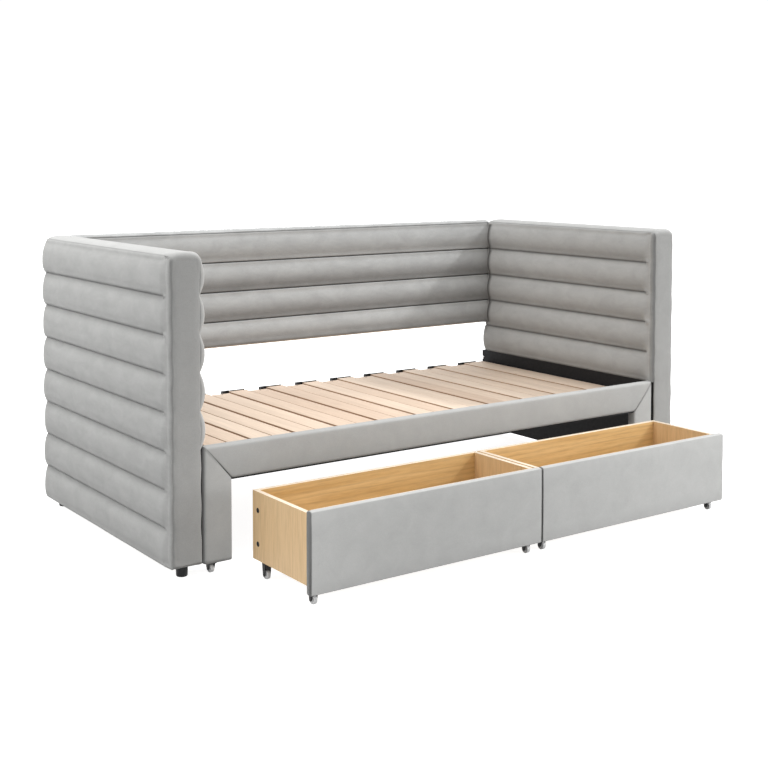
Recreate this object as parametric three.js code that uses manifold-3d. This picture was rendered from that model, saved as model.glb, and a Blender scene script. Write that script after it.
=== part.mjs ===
// An extendable daybed on two upholstered arms, with two rolling storage drawers.
// Millimetres, +Z up, -Y towards the front. The floor is Z = 0.
// The bed is drawn with Y = 0 at the front of the arms and moved to its own centre at the end.

import * as THREE from "three";
import { mergeVertices } from "three/addons/utils/BufferGeometryUtils.js";
import Module from "manifold-3d";

const wasm = await Module();
wasm.setup();

// ---- Driving dimensions -------------------------------------------------

const FIT = 0.3; // air left between touching pieces

// Arms: a foam and fabric cover over a panel, in horizontal channels one above the other.
const INNER_WIDTH = 1950; // between the arms' inner seams, for a 1905 mm mattress
const ARM_THICKNESS = 90; // seam to seam
const ARM_DEPTH = 1010; // front face to the rear seam
const ARM_BOTTOM = 38;
const CHANNEL = 115; // height of one sewn channel
const CHANNELS = 8;
const OUTER_CROWN = 18; // how far the padding stands out past its seams
const INNER_CROWN = 12; // flattened there by the mattress and the frame
const TOP_CROWN = 12;
const EDGE = 8; // radius of the covers' lower edges
const ARM_CORNER = 34; // radius of the arms' top corners, seen from the side
const PANEL_THICKNESS = 50;
const PANEL_INSET = 15; // cover thickness at the panel's front, rear and top

// Black board on the lower inner side of each arm.
const BOARD_THICKNESS = 18;
const BOARD_FACE = 968; // half the width between the two boards
const BOARD_TOP = 382;
const BOARD_START = 4;
const BOARD_END = 1016;

const FOOT_RADIUS = 18;
const FOOT_SETBACK = 36;
const BOLT_RADIUS = 7;
const BOLT_STANDOUT = 5;
const BOLT_HEIGHT = 350;

// Backrest between the arms.
const BACKREST_BOTTOM = 513;
const BACKREST_FRONT = 966;
const BACKREST_BOARD = 18;
const BACKREST_CORNER = 20; // radius of its top edges

// Slats, side by side across the bed: the odd ones fixed, the even ones sliding.
const SLAT_TOP = 332;
const SLAT_THICKNESS = 15;
const SLAT_PITCH = 84.5;
const SLAT_GAP = 8;
const SLAT_END = 957; // half the width over the two outermost slats
const SLATS_EACH_SIDE = 10; // the slats are numbered from -11 to 10
const SLATS_IN_PANEL = 4;
const FIXED_SLAT = [62, 983];
const SLIDING_SLAT = [40, 1003];
const SLIDING_LIFT = 0.5; // the sliding slats' undersides clear the fixed battens
const BATTEN = { depth: 20, height: 12, rear: 945 }; // under the fixed slats
const STRIP_DEPTH = 6; // joins the front ends of the sliding slats

const REAR_RAIL = { y: [950, 1003], z: [232, 316.7] };
const GUIDE_PLATE = { thickness: 4, bottom: 268, top: 318 };
const GUIDE_TAB = { length: 70, top: 337 };
const GUIDE_STOP = { size: 14, offset: 18, top: 338 };

// Fixed steel beam that carries the slats behind the front frame.
const BEAM = { y: [62, 102], z: [281, 316.7] };
const HANGER = { thickness: 4, reach: 40, drop: 240 };

// Front frame: a fabric-wrapped rail on two legs, mitred at the corners, that pulls out.
const FRAME_HALF = 962.5;
const FRAME_FRONT = -3;
const FRAME_THICKNESS = 36;
const RAIL_TOP = 386;
const RAIL_BOTTOM = 280.5;
const LEG_WIDTH = 94;
const LEG_BOTTOM = 32;
const ANGLE = { thickness: 5, front: 6, webTop: 300 };
const LEDGER = { y: [39, 60], bottom: 286, half: 930 };

// Two rolling drawers, drawn pulled out in front of the frame.
const DRAWER_HALF = 859;
const DRAWER_GAP = 5;
const DRAWER_FRONT = -432;
const DRAWER_REAR = -107;
const FRONT_PANEL = { thickness: 22, z: [37, 273], edge: 5 };
const BOX_BOARD = 15;
const BOX_INSET = 1.5; // box side behind the front panel's end
const BOX_Z = [61, 266];
const BASE_Z = [71, 77];

// Casters: a black fork on a plate and a grey wheel.
const DRAWER_WHEEL = { radius: 14, width: 12 };
const LEG_WHEEL = { radius: 13, width: 12 };
const FORK = { cheek: 3, plate: 3, play: 2, plateHalf: 14, cheekHalf: 8, axleRadius: 3 };
const CASTER_INSET = 31;
const CASTER_Y = [-394, -137];
const LEG_CASTER = { x: 935, y: 15 };

const SIDES = { wheel: 32, foot: 28, bolt: 20, axle: 16 }; // facets of the round pieces

// ---- Worked-out sizes ---------------------------------------------------

const INNER = INNER_WIDTH / 2;
const OUTER = INNER + ARM_THICKNESS;
const ARM_TOP = ARM_BOTTOM + CHANNEL * CHANNELS;
const ARM_MIDDLE = INNER + ARM_THICKNESS / 2;
const SLAT_BOTTOM = SLAT_TOP - SLAT_THICKNESS;
const BETWEEN_BOARDS = BOARD_FACE - FIT; // half the length of a rail from board to board
const CENTRE_Y = (DRAWER_FRONT + ARM_DEPTH + TOP_CROWN) / 2;

// ---- Materials ----------------------------------------------------------

function paint(name, color, roughness, metalness = 0) {
  return new THREE.MeshStandardMaterial({ name, color, roughness, metalness });
}

const VELVET = paint("velvet", 0xb9b6b1, 0.85);
const PINE = paint("panel_wood", 0xc9a878, 0.7);
const BIRCH = paint("slat_wood", 0xe8d2b8, 0.6);
const OAK = paint("drawer_wood", 0xd3a86e, 0.55);
const BLACK_BOARD = paint("black_board", 0x242428, 0.5);
const BLACK_STEEL = paint("black_steel", 0x1b1b1d, 0.45, 0.6);
const BLACK_PLASTIC = paint("black_plastic", 0x17171a, 0.4);
const GREY_PLASTIC = paint("wheel_plastic", 0x9c9c9e, 0.4);
const ZINC = paint("bolt_zinc", 0xd8d8d8, 0.25, 1);

// ---- Shapes -------------------------------------------------------------

const bed = new THREE.Group();

function add(name, geometry, material, position = [0, 0, 0]) {
  const mesh = new THREE.Mesh(geometry, material);
  mesh.name = name;
  mesh.position.set(...position);
  bed.add(mesh);
  return mesh;
}

// A box between two limits on each axis.
function block([x0, x1], [y0, y1], [z0, z1]) {
  const geometry = new THREE.BoxGeometry(x1 - x0, y1 - y0, z1 - z0);
  return geometry.translate((x0 + x1) / 2, (y0 + y1) / 2, (z0 + z1) / 2);
}

// The same limits for the left side (side = -1) or the right side (side = 1).
function mirrored(side, near, far) {
  return side > 0 ? [near, far] : [-far, -near];
}

function toSolid(geometry) {
  const bare = geometry.clone();
  bare.deleteAttribute("normal");
  bare.deleteAttribute("uv");
  const merged = mergeVertices(bare, 1e-4);
  const vertProperties = new Float32Array(merged.attributes.position.array);
  const triVerts = new Uint32Array(merged.index.array);
  return new wasm.Manifold(new wasm.Mesh({ numProp: 3, vertProperties, triVerts }));
}

function toGeometry(solid) {
  const mesh = solid.getMesh();
  const geometry = new THREE.BufferGeometry();
  geometry.setAttribute("position", new THREE.BufferAttribute(mesh.vertProperties, 3));
  geometry.setIndex(new THREE.BufferAttribute(mesh.triVerts, 1));
  geometry.computeVertexNormals();
  return geometry;
}

function cut(body, ...tools) {
  return toGeometry(tools.reduce((solid, tool) => solid.subtract(toSolid(tool)), toSolid(body)));
}

function join(...pieces) {
  const [first, ...others] = pieces;
  return toGeometry(others.reduce((solid, piece) => solid.add(toSolid(piece)), toSolid(first)));
}

// A rectangle whose lower and upper corners are rounded.
function roundedRectangle([a0, a1], [b0, b1], lower, upper) {
  const shape = new THREE.Shape();
  shape.moveTo(a0 + lower, b0);
  shape.lineTo(a1 - lower, b0);
  shape.absarc(a1 - lower, b0 + lower, lower, -Math.PI / 2, 0);
  shape.absarc(a1 - upper, b1 - upper, upper, 0, Math.PI / 2);
  shape.absarc(a0 + upper, b1 - upper, upper, Math.PI / 2, Math.PI);
  shape.absarc(a0 + lower, b0 + lower, lower, Math.PI, Math.PI * 1.5);
  return shape;
}

function extrude(shape, depth, curveSegments) {
  return new THREE.ExtrudeGeometry(shape, { depth, bevelEnabled: false, curveSegments });
}

// Extrudes a side view, drawn in Y and Z, along X.
function alongX(shape, [x0, x1], steps = 6) {
  const geometry = extrude(shape, x1 - x0, steps);
  const turn = new THREE.Matrix4().makeBasis(
    new THREE.Vector3(0, 1, 0),
    new THREE.Vector3(0, 0, 1),
    new THREE.Vector3(1, 0, 0),
  );
  return geometry.applyMatrix4(turn).translate(x0, 0, 0);
}

// Extrudes a front view, drawn in X and Z, along Y.
function alongY(shape, [y0, y1], steps = 6) {
  return extrude(shape, y1 - y0, steps).rotateX(Math.PI / 2).translate(0, y1, 0);
}

// A cylinder along X.
function disc(radius, [x0, x1], y, z, sides) {
  const geometry = new THREE.CylinderGeometry(radius, radius, x1 - x0, sides);
  return geometry.rotateZ(Math.PI / 2).translate((x0 + x1) / 2, y, z);
}

// ---- Arms ---------------------------------------------------------------

function arm(side, label) {
  const panelX = mirrored(side, ARM_MIDDLE - PANEL_THICKNESS / 2, ARM_MIDDLE + PANEL_THICKNESS / 2);
  const panelY = [PANEL_INSET, ARM_DEPTH - PANEL_INSET];
  const panelZ = [ARM_BOTTOM + FIT, ARM_TOP - PANEL_INSET];
  add(`${label}_arm_panel`, block(panelX, panelY, panelZ), PINE);

  const outline = roundedRectangle(
    [0, ARM_DEPTH + TOP_CROWN],
    [ARM_BOTTOM, ARM_TOP + TOP_CROWN],
    EDGE,
    ARM_CORNER,
  );
  const cover = alongX(outline, mirrored(side, INNER - INNER_CROWN, OUTER + OUTER_CROWN));
  const pocket = block(
    [panelX[0] - FIT, panelX[1] + FIT],
    [panelY[0] - FIT, panelY[1] + FIT],
    [ARM_BOTTOM - 1, panelZ[1] + FIT],
  );
  const boardBack = BOARD_FACE + BOARD_THICKNESS;
  const rebate = block(
    mirrored(side, INNER - INNER_CROWN - 1, boardBack + FIT),
    [BOARD_START - FIT, ARM_DEPTH + TOP_CROWN + 1],
    [ARM_BOTTOM - 1, BOARD_TOP + FIT],
  );
  add(`${label}_arm_upholstery`, cut(cover, pocket, rebate), VELVET);

  const boardX = mirrored(side, BOARD_FACE, boardBack);
  add(`${label}_side_board`, block(boardX, [BOARD_START, BOARD_END], [ARM_BOTTOM, BOARD_TOP]), BLACK_BOARD);

  const boltX = mirrored(side, BOARD_FACE - BOLT_STANDOUT, BOARD_FACE - FIT);
  const bolt = disc(BOLT_RADIUS, boltX, BOARD_END - BOLT_RADIUS, BOLT_HEIGHT, SIDES.bolt);
  add(`${label}_side_bolt`, bolt, ZINC);

  for (const [place, y] of [["front", FOOT_SETBACK], ["rear", ARM_DEPTH - FOOT_SETBACK]]) {
    const foot = new THREE.CylinderGeometry(FOOT_RADIUS, FOOT_RADIUS, ARM_BOTTOM, SIDES.foot);
    foot.rotateX(Math.PI / 2);
    add(`${label}_${place}_foot`, foot, BLACK_PLASTIC, [side * ARM_MIDDLE, y, ARM_BOTTOM / 2]);
  }
}

// ---- Backrest -----------------------------------------------------------

function backrest() {
  const rear = ARM_DEPTH + TOP_CROWN;
  const boardHalf = INNER - PANEL_INSET;
  const boardY = [rear - PANEL_INSET - BACKREST_BOARD, rear - PANEL_INSET];
  const boardZ = [BACKREST_BOTTOM + FIT, ARM_TOP - PANEL_INSET];
  add("backrest_panel", block([-boardHalf, boardHalf], boardY, boardZ), PINE);

  const outline = roundedRectangle(
    [BACKREST_FRONT, rear],
    [BACKREST_BOTTOM, ARM_TOP + TOP_CROWN],
    EDGE,
    BACKREST_CORNER,
  );
  const half = INNER - INNER_CROWN - FIT;
  const pocket = block(
    [-boardHalf - FIT, boardHalf + FIT],
    [boardY[0] - FIT, boardY[1] + FIT],
    [BACKREST_BOTTOM - 1, boardZ[1] + FIT],
  );
  add("backrest_upholstery", cut(alongX(outline, [-half, half]), pocket), VELVET);
}

// ---- Fixed supports under the slats --------------------------------------

function supports() {
  add("rear_rail", block([-BETWEEN_BOARDS, BETWEEN_BOARDS], REAR_RAIL.y, REAR_RAIL.z), BLACK_BOARD);
  add("support_beam", block([-BETWEEN_BOARDS, BETWEEN_BOARDS], BEAM.y, BEAM.z), BLACK_STEEL);

  for (const [side, label] of [[-1, "left"], [1, "right"]]) {
    const under = BEAM.z[0] - FIT;
    const plateX = mirrored(side, BETWEEN_BOARDS - HANGER.thickness, BETWEEN_BOARDS);
    const shelfX = mirrored(side, BETWEEN_BOARDS - HANGER.reach, BETWEEN_BOARDS);
    const plate = block(plateX, BEAM.y, [HANGER.drop, under]);
    const shelf = block(shelfX, BEAM.y, [under - HANGER.thickness, under]);
    add(`${label}_beam_hanger`, join(plate, shelf), BLACK_STEEL);
  }
}

// Black plate behind the rear rail, with a tab and a stop behind each sliding slat.
function guideRail() {
  const front = REAR_RAIL.y[1] + FIT;
  const y = [front, front + GUIDE_PLATE.thickness];
  const pieces = [block([-SLAT_END, SLAT_END], y, [GUIDE_PLATE.bottom, GUIDE_PLATE.top])];
  for (const index of slidingSlats) {
    const [left] = slatSpan(index);
    pieces.push(block([left, left + GUIDE_TAB.length], y, [GUIDE_PLATE.top - 1, GUIDE_TAB.top]));
    const stopX = [left - GUIDE_STOP.offset - GUIDE_STOP.size, left + 1];
    pieces.push(block(stopX, y, [GUIDE_PLATE.top - 1, GUIDE_STOP.top]));
    const noseX = [stopX[0], stopX[0] + GUIDE_STOP.size];
    pieces.push(block(noseX, [y[0] - GUIDE_STOP.size, y[0] + 1], [REAR_RAIL.z[1] + FIT, GUIDE_STOP.top]));
  }
  add("slat_guide_rail", join(...pieces), BLACK_PLASTIC);
}

// ---- Slats ----------------------------------------------------------------

const SLAT_COUNT = 2 * SLATS_EACH_SIDE + 2;
const allSlats = Array.from({ length: SLAT_COUNT }, (_, k) => k - SLATS_EACH_SIDE - 1);
const fixedSlats = allSlats.filter((index) => index % 2 !== 0);
const slidingSlats = allSlats.filter((index) => index % 2 === 0);

// The limits across the bed of one slat. The two outermost ones run out to the side boards.
function slatSpan(index) {
  const left = index === -SLATS_EACH_SIDE - 1 ? -SLAT_END : index * SLAT_PITCH + SLAT_GAP / 2;
  const right = index === SLATS_EACH_SIDE ? SLAT_END : (index + 1) * SLAT_PITCH - SLAT_GAP / 2;
  return [left, right];
}

function across(group) {
  return [slatSpan(group[0])[0], slatSpan(group[group.length - 1])[1]];
}

// Fixed slats, joined underneath by a batten in front of the rear rail.
function fixedPanel(name, group) {
  const y = [BATTEN.rear - BATTEN.depth, BATTEN.rear];
  const z = [SLAT_BOTTOM - BATTEN.height, SLAT_BOTTOM + FIT / 2];
  const slats = group.map((index) => block(slatSpan(index), FIXED_SLAT, [SLAT_BOTTOM, SLAT_TOP]));
  add(name, join(block(across(group), y, z), ...slats), BIRCH);
}

// Sliding slats, joined by a strip along their front ends.
function slidingPanel(name, group) {
  const z = [SLAT_BOTTOM + SLIDING_LIFT, SLAT_TOP];
  const strip = block(across(group), [SLIDING_SLAT[0], SLIDING_SLAT[0] + STRIP_DEPTH], z);
  const slats = group.map((index) => block(slatSpan(index), SLIDING_SLAT, z));
  add(name, join(strip, ...slats), BIRCH);
}

// ---- Front frame ----------------------------------------------------------

function outlineOf(points) {
  return new THREE.Shape(points.map(([x, z]) => new THREE.Vector2(x, z)));
}

function frontFrame() {
  const y = [FRAME_FRONT, FRAME_FRONT + FRAME_THICKNESS];
  const opening = FRAME_HALF - LEG_WIDTH;
  const rail = outlineOf([
    [-opening, RAIL_BOTTOM],
    [opening, RAIL_BOTTOM],
    [FRAME_HALF, RAIL_TOP],
    [-FRAME_HALF, RAIL_TOP],
  ]);
  add("front_rail", alongY(rail, y), VELVET);

  for (const [side, label] of [[-1, "left"], [1, "right"]]) {
    const leg = outlineOf([
      [side * opening, LEG_BOTTOM],
      [side * FRAME_HALF, LEG_BOTTOM],
      [side * FRAME_HALF, RAIL_TOP - FIT * 2],
      [side * opening, RAIL_BOTTOM - FIT * 2],
    ]);
    add(`front_${label}_leg`, alongY(leg, y), VELVET);
  }

  const half = opening - FIT;
  const under = RAIL_BOTTOM - FIT;
  const rear = y[1] + ANGLE.thickness;
  const flange = block([-half, half], [ANGLE.front, rear], [under - ANGLE.thickness, under]);
  const web = block([-half, half], [y[1] + FIT, rear], [under - 1, ANGLE.webTop]);
  add("front_rail_angle", join(flange, web), BLACK_STEEL);

  const ledgerZ = [LEDGER.bottom, SLAT_BOTTOM + SLIDING_LIFT - FIT];
  add("slat_ledger", block([-LEDGER.half, LEDGER.half], LEDGER.y, ledgerZ), BIRCH);
}

// ---- Casters --------------------------------------------------------------

function caster(label, x, y, wheel, plateTop) {
  const inner = wheel.width / 2 + FORK.play;
  const plateZ = [plateTop - FORK.plate, plateTop];
  const sides = [-1, 1].map((side) => block(
    mirrored(side, inner, inner + FORK.cheek).map((edge) => edge + x),
    [y - FORK.cheekHalf, y + FORK.cheekHalf],
    [wheel.radius - FORK.axleRadius * 2, plateZ[0] + 1],
  ));
  const plate = block(
    [x - FORK.plateHalf, x + FORK.plateHalf],
    [y - FORK.plateHalf, y + FORK.plateHalf],
    plateZ,
  );
  add(`${label}_fork`, join(plate, ...sides), BLACK_PLASTIC);

  const tyreX = [x - wheel.width / 2, x + wheel.width / 2];
  const axleX = [x - inner + FIT, x + inner - FIT];
  const tyre = disc(wheel.radius, tyreX, y, wheel.radius, SIDES.wheel);
  const axle = disc(FORK.axleRadius, axleX, y, wheel.radius, SIDES.axle);
  add(`${label}_wheel`, join(tyre, axle), GREY_PLASTIC);
}

function legCasters() {
  for (const [side, label] of [[-1, "left"], [1, "right"]]) {
    caster(`${label}_leg`, side * LEG_CASTER.x, LEG_CASTER.y, LEG_WHEEL, LEG_BOTTOM - FIT);
  }
}

// ---- Drawers --------------------------------------------------------------

function drawer(label, [x0, x1]) {
  const panelY = [DRAWER_FRONT, DRAWER_FRONT + FRONT_PANEL.thickness];
  const face = roundedRectangle([x0, x1], FRONT_PANEL.z, FRONT_PANEL.edge, FRONT_PANEL.edge);
  add(`${label}_drawer_front`, alongY(face, panelY, 3), VELVET);

  const boxY = [panelY[1] + FIT, DRAWER_REAR];
  const left = x0 + BOX_INSET;
  const right = x1 - BOX_INSET;
  add(`${label}_drawer_left_side`, block([left, left + BOX_BOARD], boxY, BOX_Z), OAK);
  add(`${label}_drawer_right_side`, block([right - BOX_BOARD, right], boxY, BOX_Z), OAK);

  const inside = [left + BOX_BOARD + FIT, right - BOX_BOARD - FIT];
  add(`${label}_drawer_back`, block(inside, [DRAWER_REAR - BOX_BOARD, DRAWER_REAR], BOX_Z), OAK);
  const baseY = [boxY[0], DRAWER_REAR - BOX_BOARD - FIT];
  add(`${label}_drawer_base`, block(inside, baseY, BASE_Z), OAK);

  const wheels = [["left", x0 + CASTER_INSET], ["right", x1 - CASTER_INSET]];
  for (const [sideLabel, x] of wheels) {
    caster(`${label}_drawer_front_${sideLabel}`, x, CASTER_Y[0], DRAWER_WHEEL, BASE_Z[0] - FIT);
    caster(`${label}_drawer_rear_${sideLabel}`, x, CASTER_Y[1], DRAWER_WHEEL, BASE_Z[0] - FIT);
  }
}

// ---- The whole bed ----------------------------------------------------------

arm(-1, "left");
arm(1, "right");
backrest();
supports();
guideRail();
for (const [k, label] of ["left", "middle", "right"].entries()) {
  const first = k * SLATS_IN_PANEL;
  fixedPanel(`fixed_slats_${label}`, fixedSlats.slice(first, first + SLATS_IN_PANEL));
  slidingPanel(`sliding_slats_${label}`, slidingSlats.slice(first, first + SLATS_IN_PANEL));
}
frontFrame();
legCasters();
drawer("left", [-DRAWER_HALF, -DRAWER_GAP / 2]);
drawer("right", [DRAWER_GAP / 2, DRAWER_HALF]);

bed.position.y = -CENTRE_Y;

export default bed;
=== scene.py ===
import math

import bmesh
import bpy
import numpy as np
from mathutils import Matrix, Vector


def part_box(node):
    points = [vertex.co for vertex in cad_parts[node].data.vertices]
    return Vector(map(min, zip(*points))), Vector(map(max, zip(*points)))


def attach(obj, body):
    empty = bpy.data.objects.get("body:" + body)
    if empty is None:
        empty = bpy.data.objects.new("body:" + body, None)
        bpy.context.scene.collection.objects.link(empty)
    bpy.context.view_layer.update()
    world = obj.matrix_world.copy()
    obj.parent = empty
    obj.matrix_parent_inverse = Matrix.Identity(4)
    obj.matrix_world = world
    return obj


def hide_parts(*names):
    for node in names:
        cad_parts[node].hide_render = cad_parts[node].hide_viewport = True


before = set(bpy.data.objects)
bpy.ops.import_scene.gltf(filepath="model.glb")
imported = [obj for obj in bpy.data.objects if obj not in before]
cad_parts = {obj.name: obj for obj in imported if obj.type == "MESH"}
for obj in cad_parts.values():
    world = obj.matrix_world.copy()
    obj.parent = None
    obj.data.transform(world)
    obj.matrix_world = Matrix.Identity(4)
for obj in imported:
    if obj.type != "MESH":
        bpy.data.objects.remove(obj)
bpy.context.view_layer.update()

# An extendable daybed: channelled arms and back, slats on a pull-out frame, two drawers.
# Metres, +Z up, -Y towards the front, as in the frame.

# ---- Sizes, worked out from the frame ----

MM = 0.001
ARM_LOW, ARM_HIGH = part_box("right_arm_upholstery")
BOARD_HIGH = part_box("right_side_board")[1]
BACK_LOW, BACK_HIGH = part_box("backrest_upholstery")

OUTER_CROWN = 18 * MM  # how far the padding stands out past its seams
INNER_CROWN = 19 * MM
CAD_INNER_CROWN = 12 * MM  # the CAD's padding is thinner there
REAR_CROWN = 12 * MM
TOP_CROWN = 12 * MM
BACK_CROWN = 16 * MM
CHANNELS = 8

OUTER = ARM_HIGH.x - OUTER_CROWN  # the outer seams
INNER = ARM_LOW.x + CAD_INNER_CROWN  # the inner seams
FRONT = ARM_LOW.y
REAR = ARM_HIGH.y - REAR_CROWN
BOTTOM = ARM_LOW.z
TOP = ARM_HIGH.z - TOP_CROWN
CHANNEL = (TOP - BOTTOM) / CHANNELS
REAR_CORNER = 30 * MM  # seen from above
REAR_TOP_CORNER = 48 * MM  # seen from the side
FRONT_TOP_CORNER = 14 * MM
REAR_TOP_DROP = 31 * MM
FIRST_INNER_CHANNEL = round((BOARD_HIGH.z - BOTTOM) / CHANNEL)

BACK_SEAM = BACK_LOW.y + BACK_CROWN  # the front panel's seams
BACK_REAR = BACK_HIGH.y - 2 * MM
BACK_HALF = INNER - 2.5 * MM
BACK_CHANNELS = CHANNELS - (BACK_LOW.z - BOTTOM) / CHANNEL  # the lowest one is a little shorter
END_TUCK = 26 * MM

SEAM_DEPTH = 8 * MM
SEAM_START = 30 * MM  # the channels' seams fade out this far from the arms' front seams
GUSSET_CROWN = 3 * MM
BACK_SEAM_DEPTH = 5 * MM
GROOVE_WIDTH = 2.1 * MM
SEAM_WAVE = 2.2 * MM
SEAM_TURN = 1.2 * MM  # how deep the panels' outer seams sit
TURN_WIDTH = 1.3 * MM
PRESSED = 0.93  # the share of the arms' padding that the backrest flattens
PLEAT = 8 * MM
UNEVEN = 0.7 * MM
BACK_UNEVEN = 0.8 * MM
FRONT_STRIP_SHADE = 0.20  # painted shade over the arms' front strips

CLOTH_FRAMES = 14
CLOTH = {"quality": 4, "mass": 0.3, "tension_stiffness": 12, "compression_stiffness": 6,
         "shear_stiffness": 4, "bending_stiffness": 0.4, "vertex_group_mass": "seams",
         "use_pressure": True, "uniform_pressure_force": 4.0, "shrink_min": -0.012}
CLOTH_CAP = 6 * MM  # the most that a point may move
CAP_RISE = 16 * MM  # how far from a seam it may move that much

PITCH = 84.5 * MM  # from slat to slat
SLAT_GAP = 8 * MM
SLATS_EACH_SIDE = 10
RAISED = 2 * MM  # the sliding slats over the fixed ones

SIDES = ((-1, "left"), (1, "right"))

RIPPLE_WAVES = 7

# Positions across one channel, denser beside its seams.
ACROSS = np.array([0, 0.012, 0.026, 0.045, 0.08, 0.13, 0.19, 0.26, 0.34, 0.42,
                   0.5, 0.58, 0.66, 0.74, 0.81, 0.87, 0.92, 0.955, 0.974, 0.988])


# ---- Node materials ----

def set_stops(ramp, stops):
    """Colours or greys at positions from 0 to 1."""
    while len(ramp.elements) < len(stops):
        ramp.elements.new(0.5)
    for element, (position, value) in zip(ramp.elements, stops):
        element.position = position
        element.color = (*value, 1) if hasattr(value, "__len__") else (value, value, value, 1)


class Nodes:
    """A material's node tree, with short calls for what these materials use."""

    def __init__(self, name):
        self.material = bpy.data.materials.new(name)
        self.material.use_nodes = True
        self.tree = self.material.node_tree
        self.shader = self.tree.nodes["Principled BSDF"]

    def add(self, kind, **values):
        node = self.tree.nodes.new(kind)
        for key, value in values.items():
            if hasattr(node, key):
                setattr(node, key, value)
            else:
                node.inputs[key.replace("_", " ")].default_value = value
        return node

    def link(self, source, target):
        self.tree.links.new(source, target)

    def place(self, scale=(1, 1, 1)):
        """The piece's own coordinates, in metres, stretched by scale."""
        coordinates = self.add("ShaderNodeTexCoord")
        mapping = self.add("ShaderNodeMapping")
        mapping.inputs["Scale"].default_value = scale
        self.link(coordinates.outputs["Object"], mapping.inputs["Vector"])
        return mapping.outputs["Vector"]

    def noise(self, scale, stretch=(1, 1, 1), detail=3.0, roughness=0.55, distortion=0.0):
        node = self.add("ShaderNodeTexNoise", Scale=scale, Detail=detail, Roughness=roughness)
        node.inputs["Distortion"].default_value = distortion
        self.link(self.place(stretch), node.inputs["Vector"])
        return node.outputs["Fac"]

    def ramp(self, source, stops):
        node = self.add("ShaderNodeValToRGB")
        set_stops(node.color_ramp, stops)
        self.link(source, node.inputs["Fac"])
        return node.outputs["Color"]

    def multiply(self, factor, a, b):
        node = self.add("ShaderNodeMix", data_type="RGBA", blend_type="MULTIPLY")
        node.inputs["Factor"].default_value = factor
        self.link(a, node.inputs["A"])
        self.link(b, node.inputs["B"])
        return node.outputs["Result"]

    def bump(self, source, strength, distance, below=None):
        node = self.add("ShaderNodeBump", Strength=strength, Distance=distance)
        self.link(source, node.inputs["Height"])
        if below is not None:
            self.link(below, node.inputs["Normal"])
        return node.outputs["Normal"]

    def finish(self, colour=None, roughness=None, normal=None, **values):
        for key, value in values.items():
            self.shader.inputs[key.replace("_", " ")].default_value = value
        for name, source in (("Base Color", colour), ("Roughness", roughness), ("Normal", normal)):
            if source is not None:
                self.link(source, self.shader.inputs[name])
        return self.material


VELVET_GREY = (0.396, 0.397, 0.389)


def velvet(name, brush, spread, grey=VELVET_GREY):
    """Brushed velvet. brush stretches the patches where the pile lies another way, and spread is how
    much lighter or darker they are. The velvet also carries painted shade: it is drawn darker where
    the meshes mark it with an attribute, in seams, creases and where parts meet."""
    n = Nodes(name)
    patches = n.ramp(n.noise(19, brush, 6, 0.66, 0.5),
                     [(0.34, tuple(c * (1 - spread) for c in grey)),
                      (0.66, tuple(c * (1 + spread) for c in grey))])
    fibres = n.ramp(n.noise(620, detail=2), [(0.3, 0.84), (0.7, 1.0)])
    colour = n.multiply(0.7, patches, fibres)
    # Painted shade: the meshes' attribute darkens the colour.
    crease = n.add("ShaderNodeAttribute", attribute_name="crease")
    shade = n.ramp(crease.outputs["Fac"], [(0.0, 1.0), (0.4, 0.58), (0.85, 0.10), (1.0, 0.06)])
    colour = n.multiply(1.0, colour, shade)
    pile = n.bump(n.noise(900, (1, 1, 0.6), 2), 0.35, 0.0006)
    normal = n.bump(n.noise(30, brush, 3), 0.16, 0.003, pile)
    rough = n.ramp(n.noise(14, brush, 3), [(0.3, 0.76), (0.7, 0.9)])
    return n.finish(colour, rough, normal, Sheen_Weight=0.22, Sheen_Roughness=0.4,
                    Specular_IOR_Level=0.25)


BIRCH_DARK = (0.615, 0.47, 0.36)
BIRCH_LIGHT = (0.73, 0.595, 0.475)
BIRCH_EDGE_AND_SHADE = (0.60, 0.47, 0.36)  # multiplies the colour of the boards' cut edges: partly their own darker tone, partly painted shade in the gaps


def slat_wood(name, pitch):
    """Pale birch, its grain along Y, each board a little different, and its cut edges darker: partly
    their own tone and partly painted shade in the gaps between the slats.
    """
    n = Nodes(name)
    coordinates = n.add("ShaderNodeTexCoord")
    split = n.add("ShaderNodeSeparateXYZ")
    n.link(coordinates.outputs["Object"], split.inputs[0])
    count = n.add("ShaderNodeMath", operation="DIVIDE")
    count.inputs[1].default_value = pitch
    n.link(split.outputs["X"], count.inputs[0])
    board = n.add("ShaderNodeMath", operation="FLOOR")
    n.link(count.outputs[0], board.inputs[0])
    random = n.add("ShaderNodeTexWhiteNoise", noise_dimensions="1D")
    n.link(board.outputs[0], random.inputs["W"])
    tint = n.ramp(random.outputs["Value"], [(0.0, BIRCH_DARK), (1.0, BIRCH_LIGHT)])
    fine = n.ramp(n.noise(190, (1, 0.035, 1), 4, 0.65), [(0.25, 0.80), (0.62, 1.0)])
    bands = n.ramp(n.noise(34, (1, 0.06, 1), 3, 0.5, 0.8), [(0.3, 0.90), (0.7, 1.03)])
    colour = n.multiply(0.75, n.multiply(0.8, tint, fine), bands)
    # Faces that don't look up are drawn darker: partly the edges' own tone, partly painted shade in
    # the gaps.
    facing = n.add("ShaderNodeSeparateXYZ")
    n.link(coordinates.outputs["Normal"], facing.inputs[0])
    edges = n.ramp(facing.outputs["Z"], [(0.35, BIRCH_EDGE_AND_SHADE), (0.8, (1, 1, 1))])
    colour = n.multiply(1.0, colour, edges)
    normal = n.bump(n.noise(260, (1, 0.03, 1), 3), 0.12, 0.0004)
    return n.finish(colour, n.ramp(bands, [(0.0, 0.62), (1.0, 0.48)]), normal,
                    Specular_IOR_Level=0.35)


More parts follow.
